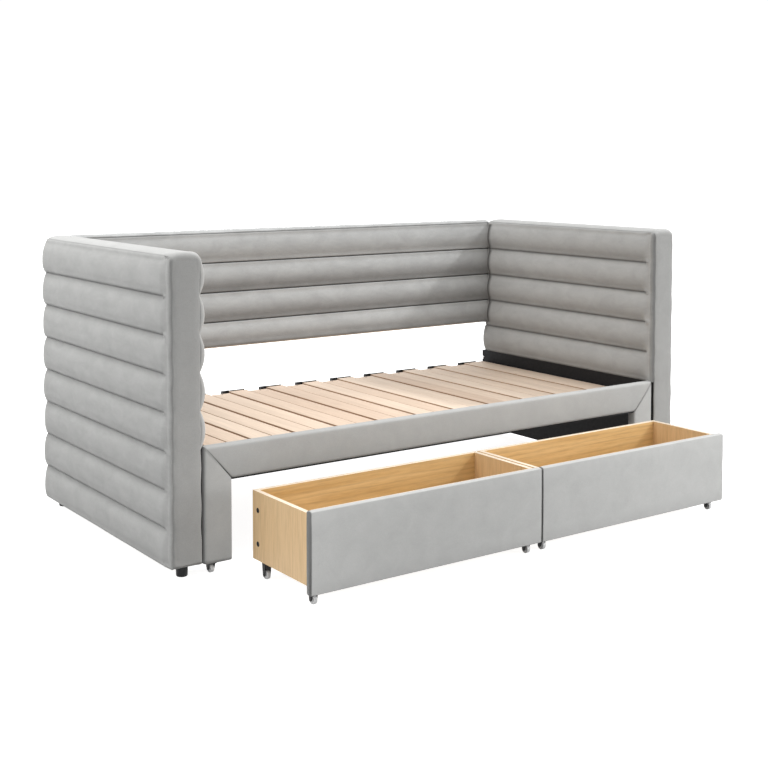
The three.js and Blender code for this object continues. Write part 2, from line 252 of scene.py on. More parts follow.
def oak_veneer(name, stretch, light, dark, across="Z", rings_share=0.55):
    """Honey oak: figure and pores drawn out along the axis that stretch shrinks, with the year
    rings' lines a short way apart on the axis across."""
    n = Nodes(name)
    figure = n.ramp(n.noise(22, stretch, 3, 0.55, 1.0), [(0.30, dark), (0.62, light)])
    pores = n.ramp(n.noise(230, stretch, 3, 0.7), [(0.38, 0.80), (0.56, 1.0)])
    rings = n.add("ShaderNodeTexWave", bands_direction=across, Scale=16.0, Distortion=7.0,
                  Detail=2.0, Detail_Scale=1.6)
    n.link(n.place(stretch), rings.inputs["Vector"])
    lines = n.ramp(rings.outputs["Fac"], [(0.0, 0.80), (0.35, 1.0)])
    colour = n.multiply(rings_share, n.multiply(0.6, figure, pores), lines)
    normal = n.bump(n.noise(500, stretch, 3), 0.12, 0.0004)
    return n.finish(colour, n.ramp(pores, [(0.7, 0.62), (1.0, 0.42)]), normal,
                    Specular_IOR_Level=0.4)


def plain(name, colour, roughness, grain=300, depth=0.08, **values):
    """A plain finish with slight mottling and a fine surface grain."""
    n = Nodes(name)
    low = tuple(0.86 * c for c in colour)
    mottle = n.ramp(n.noise(40, detail=4), [(0.3, low), (0.7, colour)])
    rough = n.ramp(n.noise(90), [(0.3, roughness * 0.85), (0.7, roughness * 1.15)])
    return n.finish(mottle, rough, n.bump(n.noise(grain), depth, 0.0005), **values)


OAK_LIGHT = (0.63, 0.42, 0.19)
OAK_DARK = (0.52, 0.32, 0.12)
SIDE_LIGHT = (0.68, 0.475, 0.26)  # the drawers' sides are paler
SIDE_DARK = (0.64, 0.435, 0.228)

VELVET_ACROSS = velvet("velvet_brushed_across", (0.6, 0.6, 1.3), 0.07)
VELVET_FLAT = velvet("velvet_flat", (0.8, 1.0, 0.8), 0.04)
VELVET_BACK = velvet("velvet_of_the_backrest", (0.6, 0.6, 1.1), 0.08, (0.392, 0.397, 0.394))
BIRCH = slat_wood("birch", PITCH)
OAK_X = oak_veneer("oak_along_the_drawer", (0.06, 1, 1), OAK_LIGHT, OAK_DARK)
OAK_Z = oak_veneer("oak_upright", (1, 1, 0.05), SIDE_LIGHT, SIDE_DARK, "Y", 0.2)
PLYWOOD = oak_veneer("plywood", (0.15, 1, 1), (0.60, 0.42, 0.24), (0.50, 0.33, 0.17))
EDGE_BAND = plain("edge_band", (0.70, 0.59, 0.46), 0.45)
BLACK_BOARD = plain("black_laminate", (0.009, 0.009, 0.010), 0.6, 500, 0.15,
                    Specular_IOR_Level=0.22)
BLACK_STEEL = plain("black_powder_coat", (0.008, 0.008, 0.009), 0.55, 900, 0.3,
                    Specular_IOR_Level=0.2)
BLACK_PLASTIC = plain("black_plastic", (0.007, 0.007, 0.008), 0.42, 600, 0.12,
                      Specular_IOR_Level=0.25)
WHEEL_GREY = plain("wheel_plastic", (0.66, 0.66, 0.66), 0.28, 300, 0.05)
ZINC = plain("bright_zinc", (0.80, 0.80, 0.80), 0.25, 500, 0.1, Metallic=1.0)
DARK_SCREW = plain("screw_steel", (0.10, 0.09, 0.085), 0.4, 500, 0.1, Metallic=1.0)


# ---- Mesh helpers ----

def make_piece(name, points, faces, material, smooth=True):
    mesh = bpy.data.meshes.new(name)
    mesh.from_pydata([tuple(p) for p in points], [], [tuple(f) for f in faces])
    mesh.validate()
    mesh.update()
    piece = bpy.data.objects.new(name, mesh)
    bpy.context.scene.collection.objects.link(piece)
    mesh.materials.append(material)
    mesh.polygons.foreach_set("use_smooth", [smooth] * len(mesh.polygons))
    return piece


def keep(piece, body, slot, *replaced):
    """Puts a finished piece on its body and hides the nodes it stands for. slot is not used."""
    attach(piece, body)
    if replaced:
        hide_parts(*replaced)
    return piece


def grid_faces(rows, columns, closed=False):
    """Quads between the points of a grid, stored row by row. closed joins the last column to
    the first."""
    faces = []
    last = columns if closed else columns - 1
    for i in range(rows - 1):
        for j in range(last):
            k = (j + 1) % columns
            here = i * columns
            above = here + columns
            faces.append((here + j, here + k, above + k, above + j))
    return faces


def end_caps(rows, columns):
    """One face across each end of a closed grid."""
    last = (rows - 1) * columns
    return [tuple(range(columns))[::-1], tuple(range(last, last + columns))]


def smooth_step(x, low, high):
    t = np.clip((np.asarray(x, float) - low) / (high - low), 0, 1)
    return t * t * (3 - 2 * t)


def round_rise(x):
    """Rises from 0 to 1 as a quarter of a circle does."""
    t = np.clip(x, 0, 1)
    return np.sqrt(t * (2 - t))


def crown(t, power):
    """Rises from 0 to 1 and falls again as t goes from 0 to 1, the flatter the higher the power."""
    return 1 - np.abs(2 * t - 1) ** power


def bell(distance, width):
    """1 at no distance, fading to nothing within about two widths."""
    return np.exp(-(distance / width) ** 2)


def ripple(points, scale, seed):
    """A smooth seeded unevenness from -1 to 1: a few slow waves in different directions."""
    random = np.random.default_rng(seed)
    total = np.zeros(len(points))
    for _ in range(RIPPLE_WAVES):
        direction = random.normal(size=3)
        direction /= np.linalg.norm(direction)
        phase = points @ direction * random.uniform(0.6, 1.6) / scale + random.uniform(0, 6.3)
        total += np.sin(phase)
    return total / RIPPLE_WAVES


def lathe(profile, sides):
    """Points and faces of a profile of (radius, height) turned about Z, from axis to axis."""
    points = []
    faces = []
    rings = []
    for radius, height in profile:
        if radius < 1e-9:
            rings.append([len(points)])
            points.append((0, 0, height))
            continue
        rings.append(list(range(len(points), len(points) + sides)))
        for k in range(sides):
            angle = 2 * math.pi * k / sides
            points.append((radius * math.cos(angle), radius * math.sin(angle), height))
    for a, b in zip(rings, rings[1:]):
        for k in range(sides):
            m = (k + 1) % sides
            if len(a) == 1:
                faces.append((a[0], b[m], b[k])[::-1])
            elif len(b) == 1:
                faces.append((a[k], a[m], b[0]))
            else:
                faces.append((a[k], a[m], b[m], b[k]))
    return np.array(points, float), faces


def outward(piece):
    """Turns all faces outwards."""
    made = bmesh.new()
    made.from_mesh(piece.data)
    bmesh.ops.recalc_face_normals(made, faces=made.faces)
    made.to_mesh(piece.data)
    made.free()
    return piece


def turned_piece(name, profile, sides, axis, centre, material):
    """A profile turned about Z, left upright or laid along X or -X, and moved to centre."""
    points, faces = lathe(profile, sides)
    if axis != "z":
        points = points[:, (2, 0, 1)]
    if axis == "-x":
        points = points * np.array((-1, -1, 1))
    return outward(make_piece(name, points + np.array(centre), faces, material))


def bevel(piece, width, segments=2):
    modifier = piece.modifiers.new("rounded edges", "BEVEL")
    modifier.width = width
    modifier.segments = segments
    modifier.limit_method = "ANGLE"
    modifier.angle_limit = math.radians(30)


def box_points(low, high):
    (x0, y0, z0), (x1, y1, z1) = low, high
    return [(x0, y0, z0), (x1, y0, z0), (x1, y1, z0), (x0, y1, z0),
            (x0, y0, z1), (x1, y0, z1), (x1, y1, z1), (x0, y1, z1)]


BOX_FACES = [(0, 3, 2, 1), (4, 5, 6, 7), (0, 1, 5, 4), (1, 2, 6, 5), (2, 3, 7, 6), (3, 0, 4, 7)]


def board(name, low, high, material, radius):
    """A board with rounded edges, which catch the light."""
    piece = make_piece(name, box_points(low, high), BOX_FACES, material)
    bevel(piece, radius, 3)
    return piece


def several_boards(name, boxes, material, radius):
    """Boards that make one piece."""
    points = []
    faces = []
    for low, high in boxes:
        faces += [tuple(len(points) + i for i in face) for face in BOX_FACES]
        points += box_points(low, high)
    piece = make_piece(name, points, faces, material)
    bevel(piece, radius, 2)
    return piece


# ---- Cloth ----

def read_points(mesh):
    points = np.zeros(len(mesh.vertices) * 3)
    mesh.vertices.foreach_get("co", points)
    return points.reshape(-1, 3)


def write_points(mesh, points):
    mesh.vertices.foreach_set("co", np.asarray(points, np.float32).ravel())
    mesh.update()


def inflate(sheets):
    """Swells the sheets by cloth simulation, held along their seams, and keeps the result. Each
    sheet comes with which of its points are held and the most that each may move."""
    scene = bpy.context.scene
    started = {}
    for piece, held, _ in sheets:
        started[piece.name] = read_points(piece.data)
        seams = np.nonzero(held.ravel())[0].tolist()
        piece.vertex_groups.new(name="seams").add(seams, 1.0, "REPLACE")
        cloth = piece.modifiers.new("cloth", "CLOTH")
        for key, value in CLOTH.items():
            setattr(cloth.settings, key, value)
        cloth.settings.effector_weights.gravity = 0
        cloth.collision_settings.use_collision = False
        cloth.collision_settings.use_self_collision = False
        cloth.point_cache.frame_start = 1
        cloth.point_cache.frame_end = CLOTH_FRAMES
    for number in range(1, CLOTH_FRAMES + 1):
        scene.frame_set(number)
    depsgraph = bpy.context.evaluated_depsgraph_get()
    settled = {}
    for piece, _, _ in sheets:
        settled[piece.name] = read_points(piece.evaluated_get(depsgraph).data)
    for piece, _, cap in sheets:
        piece.modifiers.remove(piece.modifiers["cloth"])
        piece.vertex_groups.clear()
        before = started[piece.name]
        move = settled[piece.name] - before
        length = np.linalg.norm(move, axis=1, keepdims=True)
        move *= np.minimum(1, np.reshape(cap, (-1, 1)) / np.maximum(length, 1e-9))
        write_points(piece.data, before + move)
    scene.frame_set(1)


# ---- The arms' quilted panels ----

STRAIGHT = REAR - REAR_CORNER - FRONT
ARC = REAR_CORNER * math.pi / 2
BACK_STRAIGHT = OUTER - INNER - 2 * REAR_CORNER
WRAP = 2 * STRAIGHT + 2 * ARC + BACK_STRAIGHT


def wrap_path(s):
    """Place and outward direction on the seams' outline, seen from above: along the arm's outer
    face to the rear, round it, and back along the inner face. Right arm."""
    def corner(x, a):
        return (x + REAR_CORNER * math.cos(a), REAR - REAR_CORNER + REAR_CORNER * math.sin(a),
                math.cos(a), math.sin(a))

    if s <= STRAIGHT:
        return OUTER, FRONT + s, 1, 0
    s -= STRAIGHT
    if s <= ARC:
        return corner(OUTER - REAR_CORNER, s / REAR_CORNER)
    s -= ARC
    if s <= BACK_STRAIGHT:
        return OUTER - REAR_CORNER - s, REAR, 0, 1
    s -= BACK_STRAIGHT
    if s <= ARC:
        return corner(INNER + REAR_CORNER, math.pi / 2 + s / REAR_CORNER)
    s -= ARC
    return INNER, REAR - REAR_CORNER - s, -1, 0


def seam_height(y):
    """Height of the top seam, which turns down at the rear corner."""
    over = np.clip(y - (REAR - REAR_TOP_CORNER), 0, REAR_TOP_CORNER)
    arc = REAR_TOP_CORNER - np.sqrt(np.maximum(REAR_TOP_CORNER ** 2 - over ** 2, 0))
    return TOP - np.minimum(arc, REAR_TOP_DROP)


def wrap_stations():
    """Distances along the outline, denser at its ends, which are the front seams."""
    front = np.concatenate([[0, 1 * MM, 2.5 * MM], np.arange(4 * MM, 60 * MM, 4 * MM)])
    half = np.concatenate([front, np.arange(60 * MM, STRAIGHT - 5 * MM, 10 * MM)])
    bend = np.arange(STRAIGHT, WRAP - STRAIGHT, 4.4 * MM)
    return np.concatenate([half, bend, WRAP - half[::-1]])


def seam_wave(z):
    """How far the channels' seams pull the front seam in."""
    lower = smooth_step(TOP - z, 20 * MM, 60 * MM) * smooth_step(z - BOTTOM, 20 * MM, 60 * MM)
    return SEAM_WAVE * (0.5 + 0.5 * np.cos(2 * math.pi * (z - BOTTOM) / CHANNEL)) * lower


def round_top_corner(y, z):
    """Moves points near the front top corner onto its arc."""
    a = np.clip((FRONT_TOP_CORNER - (y - FRONT)) / FRONT_TOP_CORNER, 0, 1)
    b = np.clip((z - (TOP - FRONT_TOP_CORNER)) / FRONT_TOP_CORNER, 0, 1)
    a_round = a * np.sqrt(1 - b * b / 2)
    b_round = b * np.sqrt(1 - a * a / 2)
    return y + (a - a_round) * FRONT_TOP_CORNER, z + (b_round - b) * FRONT_TOP_CORNER


def arm_panels(side, label):
    """The channelled cover: outer face, rear and inner face in one wrap."""
    stations = wrap_stations()
    levels = np.array([channel + c for channel in range(CHANNELS) for c in ACROSS] + [CHANNELS])
    path = np.array([wrap_path(s) for s in stations])
    from_front = np.minimum(stations, WRAP - stations)
    on_inner = smooth_step(stations, WRAP / 2, WRAP / 2 + ARC)
    on_rear = np.abs(path[:, 3]) ** 3
    full = OUTER_CROWN + (INNER_CROWN - OUTER_CROWN) * on_inner
    full = full + (REAR_CROWN - full) * on_rear

    n, m = len(stations), len(levels)
    level = np.broadcast_to(levels, (n, m))
    near = np.broadcast_to(from_front[:, None], (n, m))
    t = level - np.floor(np.minimum(level, CHANNELS - 1e-9))
    outer_shape = crown(t ** 0.76, 3.0)
    channel_shape = outer_shape + (crown(t ** 0.9, 2.1) - outer_shape) * on_inner[:, None]
    hem = np.maximum(channel_shape, 0.82 * round_rise(t / 0.2))
    channel_shape = np.where(level < 0.5, hem, channel_shape)
    merged = 0.75 * (round_rise(level / 0.32) * round_rise((CHANNELS - level) / 0.42))
    inside_half = (stations > WRAP / 2)[:, None]
    into_channels = smooth_step(near, SEAM_START * 0.45, SEAM_START * 1.5)
    if side < 0:
        into_channels = np.maximum(into_channels, inside_half)
    shape = merged + (channel_shape - merged) * into_channels
    height = full[:, None] * shape * round_rise(near / np.where(inside_half, 9 * MM, 42 * MM))

    y = np.broadcast_to(path[:, 1:2], (n, m))
    z = BOTTOM + level * CHANNEL
    pressed = on_inner[:, None] * smooth_step(y, BACK_SEAM - 6 * MM, BACK_SEAM + 6 * MM)
    pressed = pressed * smooth_step(z, BACK_LOW.z - 12 * MM, BACK_LOW.z)
    height = height * (1 - PRESSED * pressed)
    z = z - (TOP - seam_height(y)) * smooth_step(level, CHANNELS - 1.0, CHANNELS)
    y, z = round_top_corner(y, z)
    pleats = np.sin((TOP - z) / PLEAT * 2 * math.pi) * smooth_step(TOP - z, 75 * MM, 20 * MM)
    pleats = pleats * smooth_step(TOP - z, 4 * MM, 10 * MM)
    height = (height + 0.8 * MM * pleats * smooth_step(near, 34 * MM, 8 * MM)
              * smooth_step(near, 0, 5 * MM))

    wave = seam_wave(z) * np.exp(-near / (25 * MM)) * np.abs(path[:, 2:3])
    points = np.stack([
        path[:, 0:1] + path[:, 2:3] * (height - wave),
        y + path[:, 3:4] * height,
        z,
    ], axis=-1)
    flat = points.reshape(-1, 3)
    normal = np.repeat(path[:, 2:4], m, axis=0)
    uneven = UNEVEN * ripple(flat, 0.05, 3) * (height.ravel() > 4 * MM)
    flat[:, :2] += normal * uneven[:, None]

    on_seam = np.isclose(level, np.round(level))
    held = on_seam & ((near > SEAM_START) | (level < 0.01) | (level > CHANNELS - 0.01))
    held |= (near < 1e-6) | (level < 0.02)
    cut = BOARD_HIGH.x + 1.5 * MM
    wanted = []
    for face in grid_faces(n, m):
        i, j = divmod(face[0], m)
        inside = stations[i] > WRAP / 2 and path[i + 1, 0] < cut
        behind_board = inside and levels[j] < FIRST_INNER_CHANNEL
        if not behind_board:
            wanted.append(face)
    piece = make_piece(f"{label}_arm_panels", mirror(flat, side), flip(wanted, side), VELVET_ACROSS)
    off = np.abs(level - np.round(level)) * CHANNEL
    free = np.minimum(off + (1 - into_channels) * 20 * MM, near)
    cap = CLOTH_CAP * smooth_step(free, 0, CAP_RISE) * (1 - pressed)
    facts = (level, near, normal, side, on_inner[:, None])
    return (piece, held, cap), facts


def mirror(points, side):
    return points * np.array([side, 1, 1])


def flip(faces, side):
    """Faces of a mirrored piece turn round, so that they still look outwards."""
    return faces if side > 0 else [face[::-1] for face in faces]


# How the inner faces meet the front seams, on the left arm (-1) and on the right (1), and the
# painted shade along the seams and where the arms meet the backrest.
SEAMS_NEARER = {-1: 0.8, 1: 0.1}  # how much nearer to the front the channels' seams start
FRONT_REACH = {-1: 0.0, 1: 4.1}  # mm added to the width of the front seam's painted shade line
FRONT_LIGHTER = {-1: 0.7, 1: 0.0}
FRONT_DARK = 0.62
TOP_DARK = 0.7
ARM_MEETS_BACK_DARK = 0.8
INNER_PAINTED_SHADE = 0.22  # painted shade just above the inner faces' seams
OUTER_PAINTED_SHADE = 0.20  # and painted shade just below the outer faces' seams


def sew(piece, facts):
    """Pulls the seams in after the simulation, and rolls the front seams' edges."""
    level, near, normal, side, on_inner = facts
    points = mirror(read_points(piece.data), side)
    start = SEAM_START * (1 - SEAMS_NEARER[side] * on_inner)
    grooves = smooth_step(near, start * 0.9, start * 1.5)
    off = np.abs(level - np.round(level)) * CHANNEL
    inside = (level > 0.5) & (level < CHANNELS - 0.5)
    depth = bell(off, GROOVE_WIDTH) * grooves * inside
    top_seam = bell((CHANNELS - level) * CHANNEL, TURN_WIDTH)
    front_seam = bell(near, TURN_WIDTH)
    edge = np.maximum(top_seam, front_seam)
    points[:, :2] -= normal * (SEAM_DEPTH * depth + SEAM_TURN * edge).reshape(-1, 1)
    points[:, 1] += SEAM_TURN * front_seam.ravel()
    points[:, 2] -= SEAM_TURN * top_seam.ravel()
    write_points(piece.data, mirror(points, side))

    # Painted shade over part of each channel: the lower part on the inner faces, the upper part on
    # the outer faces.
    across = level - np.floor(level)
    below_seam = smooth_step(across, 0.72, 1.0) * (level < CHANNELS - 1)
    below_seam = below_seam * smooth_step(near, 0, 60 * MM)
    painted_channel_shade = INNER_PAINTED_SHADE * on_inner * (1 - smooth_step(across, 0, 0.6))
    painted_channel_shade = painted_channel_shade * smooth_step(near, 20 * MM, 60 * MM) + OUTER_PAINTED_SHADE * (1 - on_inner) * below_seam
    # Painted shade along the front and top seams, in the channels' grooves and where the arm meets
    # the backrest.
    reach = (0.9 + FRONT_REACH[side] * on_inner) * MM
    front_edge = FRONT_DARK * bell(near, reach) * (1 - FRONT_LIGHTER[side] * on_inner)
    edges = np.maximum(TOP_DARK * top_seam, front_edge) + painted_channel_shade
    seam = bell(off, (4.3 + 1.2 * on_inner) * MM) * grooves * inside
    y = points[:, 1].reshape(level.shape)
    at_back = smooth_step(y, BACK_LOW.y - 12 * MM, BACK_LOW.y - 1 * MM)
    at_back = at_back * (1 - smooth_step(y, BACK_LOW.y + 6 * MM, BACK_LOW.y + 14 * MM))
    beside_back = (BOTTOM + level * CHANNEL > BACK_LOW.z) * (level < CHANNELS - 0.05)
    at_back = ARM_MEETS_BACK_DARK * at_back * on_inner * beside_back
    mark_painted_shade(piece, np.maximum(np.maximum(seam, at_back), edges))


def mark_painted_shade(piece, amount):
    """Painted shade: where the velvet is drawn darker, for its material."""
    crease = piece.data.attributes.new("crease", "FLOAT", "POINT")
    values = np.zeros(len(piece.data.vertices), np.float32)
    amount = np.asarray(amount, np.float32).ravel()
    values[:len(amount)] = amount
    crease.data.foreach_set("value", values)


# ---- The arms' gussets ----

FRONT_STEPS = 8
REAR_STEPS = 10


def gusset_path():
    """Side view of the strip between the panels: up the front, over the top and down the rear
    corner. Each point is y, z and its outward direction."""
    stations = []
    for z in np.arange(BOTTOM, TOP - FRONT_TOP_CORNER, 9 * MM):
        stations.append((FRONT, z, -1, 0))
    for k in range(FRONT_STEPS + 1):
        a = math.pi / 2 * k / FRONT_STEPS
        stations.append((FRONT + FRONT_TOP_CORNER * (1 - math.cos(a)),
                         TOP - FRONT_TOP_CORNER * (1 - math.sin(a)), -math.cos(a), math.sin(a)))
    start = FRONT + FRONT_TOP_CORNER + 8 * MM
    for y in np.arange(start, REAR - REAR_TOP_CORNER - 4 * MM, 9 * MM):
        stations.append((y, TOP, 0, 1))
    last = math.acos(1 - REAR_TOP_DROP / REAR_TOP_CORNER)
    for k in range(REAR_STEPS + 1):
        a = last * k / REAR_STEPS
        stations.append((REAR - REAR_TOP_CORNER + REAR_TOP_CORNER * math.sin(a),
                         TOP - REAR_TOP_CORNER * (1 - math.cos(a)), math.sin(a), math.cos(a)))
    return np.array(stations)


# Painted shade along the gussets' seams.
OUTER_SEAM_DARK = 0.62
INNER_SEAM_DARK = {-1: 0.15, 1: 0.55}  # down the front, on the left arm and on the right


def gusset(side, label):
    """The plain strip between an arm's panels."""
    path = gusset_path()
    across = np.concatenate([[0, 0.012, 0.03], np.linspace(0.07, 0.93, 15), [0.97, 0.988, 1]])
    n, m = len(path), len(across)
    y, z, ny, nz = (path[:, k:k + 1] for k in range(4))
    over = np.clip(y - (REAR - REAR_CORNER), 0, REAR_CORNER)
    rounded = REAR_CORNER - np.sqrt(np.maximum(REAR_CORNER ** 2 - over ** 2, 0))
    half = (OUTER - INNER) / 2 - rounded
    x = (OUTER + INNER) / 2 + half * (2 * across - 1)
    topness = smooth_step(nz, 0.15, 1.0)
    front_shape = GUSSET_CROWN * crown(across, 7) * (1 - topness)
    shape = front_shape + TOP_CROWN * crown(across, 2.6) * topness
    rear = REAR_STEPS + 1
    rear_fade = np.ones((n, 1))
    rear_fade[-rear:, 0] = round_rise(np.linspace(1, 0, rear) * 1.3)
    from_seam = np.minimum(across, 1 - across) * 2 * half
    at_seam = bell(from_seam, TURN_WIDTH)
    height = shape * rear_fade - SEAM_TURN * at_seam
    pulled = seam_wave(z) * (1 - topness) * np.abs(2 * across - 1) ** 5
    x = x - (SEAM_TURN * at_seam + pulled) * np.sign(2 * across - 1)
    points = np.stack([x, y + ny * height, z + nz * height], axis=-1).reshape(-1, 3)
    faces = flip([face[::-1] for face in grid_faces(n, m)], side)
    held = np.zeros((n, m), bool)
    held[:, [0, 1, -2, -1]] = True
    held[[0, -1], :] = True
    piece = make_piece(f"{label}_arm_gusset", mirror(points, side), faces, VELVET_FLAT)
    # Painted shade along the seams, and over the whole front strip.
    inner_dark = INNER_SEAM_DARK[side] * (1 - topness) + 0.6 * topness
    dark = np.where(across > 0.5, OUTER_SEAM_DARK, inner_dark)
    seam = dark * bell(from_seam, 0.9 * MM)
    mark_painted_shade(piece, np.maximum(seam, FRONT_STRIP_SHADE * (1 - topness)))
    return piece, held, 2 * MM


# ---- The backrest ----

def seam_of(z):
    """Height of the nearest channel seam."""
    return BOTTOM + np.round((z - BOTTOM) / CHANNEL) * CHANNEL


def backrest():
    """One closed sleeve: channelled front, crowned top, flat back and underside."""
    first = CHANNELS - BACK_CHANNELS
    bounds = [first] + list(range(math.ceil(first), CHANNELS + 1))
    loop = []  # y, z, outward y, outward z, crown, on a seam
    for low, high in zip(bounds, bounds[1:]):
        for c in ACROSS:
            z = BOTTOM + (low + (high - low) * c) * CHANNEL
            shape = crown(c ** 0.9, 2.0)
            if low == first and c < 0.5:
                shape = max(shape, 0.8 * float(round_rise(c / 0.12)))
            loop.append((BACK_SEAM, z, -1, 0, BACK_CROWN * shape, low != first and c == 0))
    depth = BACK_REAR - BACK_SEAM
    for c in np.linspace(0, 1, 11):
        swell = TOP_CROWN * float(crown(c, 2.3))
        loop.append((BACK_SEAM + depth * c, TOP, 0, 1, swell, c in (0, 1)))
    for c in np.linspace(0.03, 0.97, 14):
        swell = 2 * MM * float(crown(c, 5))
        loop.append((BACK_REAR, TOP + (BACK_LOW.z - TOP) * c, 1, 0, swell, False))
    for c in (0, 0.35, 0.7):
        loop.append((BACK_REAR - depth * c, BACK_LOW.z, 0, -1, 0, c == 0))
    y, z, out_y, out_z, swell, on_seam = np.array(loop, float).T
    is_front = out_y < 0

    inner = np.arange(-BACK_HALF + 40 * MM, BACK_HALF - 39 * MM, 10 * MM)
    ends = np.array([0, 1, 3, 6, 10, 15, 20, 26, 33]) * MM
    x = np.concatenate([-BACK_HALF + ends, inner, (BACK_HALF - ends)[::-1]])
    n, m = len(x), len(loop)
    from_end = np.minimum(x + BACK_HALF, BACK_HALF - x)[:, None]
    tuck = round_rise(from_end / END_TUCK)
    height = swell * np.where(out_z > 0, 0.8 + 0.2 * tuck, 0.35 + 0.65 * tuck)
    x = np.broadcast_to(x[:, None], (n, m))
    points = np.stack([x, y + out_y * height, z + out_z * height], axis=-1).reshape(-1, 3)
    front_points = np.broadcast_to(is_front, (n, m)).ravel()
    points[front_points, 1] += BACK_UNEVEN * ripple(points[front_points], 0.06, 9)
    faces = grid_faces(n, m, closed=True) + [face[::-1] for face in end_caps(n, m)]
    piece = make_piece("backrest_cover", points, faces, VELVET_BACK)
    held = np.broadcast_to((on_seam > 0) | (~is_front & (out_z <= 0)), (n, m)).copy()
    held[[0, -1], :] = True
    free = np.minimum(np.minimum(np.abs(z - seam_of(z)), 30 * MM), from_end)
    cap = CLOTH_CAP * smooth_step(free, 0, CAP_RISE) * is_front + 1 * MM * ~is_front
    return (piece, held, cap), (z, is_front, from_end)


BACK_PAINTED_SHADE = 0.43  # painted shade just above the backrest's seams
TOP_CHANNEL_PAINTED_SHADE = 0.10


def sew_backrest(piece, facts):
    """Pulls the channels' seams in after the simulation."""
    z, is_front, from_end = facts
    points = read_points(piece.data)
    seam = seam_of(z)
    groove = bell(np.abs(z - seam), GROOVE_WIDTH) * is_front * (seam > BACK_LOW.z + 20 * MM)
    groove = np.broadcast_to(groove, (len(from_end), len(z)))
    points[:, 1] += BACK_SEAM_DEPTH * groove.ravel()
    write_points(piece.data, points)
    # Painted shade: in the seams' grooves, over each channel's lower part, and where the backrest
    # meets the arms.
    share = (z - BOTTOM) / CHANNEL
    depth = np.where(share > CHANNELS - 1, TOP_CHANNEL_PAINTED_SHADE, BACK_PAINTED_SHADE)
    painted_channel_shade = depth * (1 - smooth_step(share - np.floor(share + 1e-6), 0.05, 0.8)) * is_front
    at_arms = 0.9 * bell(from_end, 7 * MM) * (from_end > 0) * is_front
    mark_painted_shade(piece, np.maximum(groove, np.maximum(at_arms, painted_channel_shade)))


# ---- Front frame ----

WRAP_RADIUS = 9 * MM
FACE_CROWN = 1.6 * MM
MITRE_PLAY = 0.2 * MM


def rounded_section(width, depth, radius, steps=5, face=7):
    """Points round a rectangle with round corners and slightly crowned faces. Each point is
    across, depth."""
    points = []
    u = width / 2 - radius
    v = depth / 2 - radius
    centres = [(u, -v), (u, v), (-u, v), (-u, -v)]
    for k, (x, y) in enumerate(centres):
        start = 90 * (k - 1)
        for i in range(steps + 1):
            a = math.radians(start + 90 * i / steps)
            points.append((x + radius * math.cos(a), y + radius * math.sin(a)))
        a = math.radians(start + 90)
        out = np.array([math.cos(a), math.sin(a)])
        first = np.array([x, y]) + radius * out
        last = np.array(centres[(k + 1) % 4]) + radius * out
        for i in range(1, face):
            t = i / face
            points.append(tuple(first + (last - first) * t + FACE_CROWN * 4 * t * (1 - t) * out))
    return np.array(points)


def wrapped_bar(node, body, section, start, stop, build, seed, steps, end_shade=0.35, shade=0.0):
    """A fabric-wrapped bar in place of a node. start and stop give its length's limits at each
    point of the section, so that an end can be mitred. build places (along, across, depth)."""
    m = len(section)
    middle = np.linspace(0.008, 0.992, steps + 1)
    base = np.concatenate([[0, 0.0012, 0.0035], middle, [0.9965, 0.9988, 1]])
    low = np.array([start(a) for a, _ in section])
    high = np.array([stop(a) for a, _ in section])
    along = low + (high - low) * base[:, None]
    end = np.minimum(base, 1 - base)[:, None]
    span = float(np.mean(high - low))
    inset = 1.6 * MM * bell(end * span, 1.8 * MM)
    size = np.linalg.norm(section, axis=1)
    across = section[:, 0] - inset * section[:, 0] / size
    depth = section[:, 1] - inset * section[:, 1] / size
    points = build(along.ravel(), across.ravel(), depth.ravel())
    points[:, 1] += 0.35 * MM * ripple(points, 0.035, seed)
    faces = grid_faces(len(base), m, closed=True) + end_caps(len(base), m)
    piece = make_piece(f"{node}_cover", points, faces, VELVET_FLAT)
    # Painted shade: darker at the bar's ends, and over the whole bar by shade.
    dark = np.maximum(end_shade * (end * span < 2.5 * MM), shade)
    mark_painted_shade(piece, np.broadcast_to(dark, (len(base), m)))
    keep(outward(piece), body, "velvet", node)


def front_frame():
    rail_low, rail_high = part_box("front_rail")
    leg_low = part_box("front_right_leg")[0]
    half = rail_high.x
    opening = leg_low.x
    slope = (half - opening) / (rail_high.z - rail_low.z)
    middle_y = (rail_low.y + rail_high.y) / 2
    depth = rail_high.y - rail_low.y
    tall = rail_high.z - rail_low.z
    middle_z = (rail_low.z + rail_high.z) / 2
    section = rounded_section(tall, depth, WRAP_RADIUS)

    def reach(across):
        return opening + (across + tall / 2) * slope - MITRE_PLAY

    def place_rail(along, across, deep):
        return np.stack([along, middle_y + deep, middle_z + across], axis=-1)

    wrapped_bar("front_rail", "front_frame", section, lambda a: -reach(a), reach, place_rail,
                21, 150, shade=0.08)

    wide = half - opening
    leg_section = rounded_section(wide, depth, WRAP_RADIUS * 0.8)
    middle_x = (half + opening) / 2

    def leg_top(across):
        return rail_low.z + (across + wide / 2) / slope - MITRE_PLAY

    for side, label in SIDES:
        def place_leg(along, across, deep):
            return np.stack([side * (middle_x + across), middle_y + deep, along], axis=-1)

        wrapped_bar(f"front_{label}_leg", "front_frame", leg_section, lambda a: leg_low.z,
                    leg_top, place_leg, 33 + side, 40)


# ---- Slats ----

def screw(name, centre, body):
    """A countersunk head with a dished middle."""
    r = 3.6 * MM
    profile = [(0, -1.2 * MM), (r, -1.2 * MM), (r, 0.1 * MM), (r * 0.8, 0.4 * MM),
               (r * 0.36, 0.3 * MM), (r * 0.28, 0.08 * MM), (0, 0.08 * MM)]
    keep(turned_piece(name, profile, 20, "z", centre, DARK_SCREW), body, "black_steel")


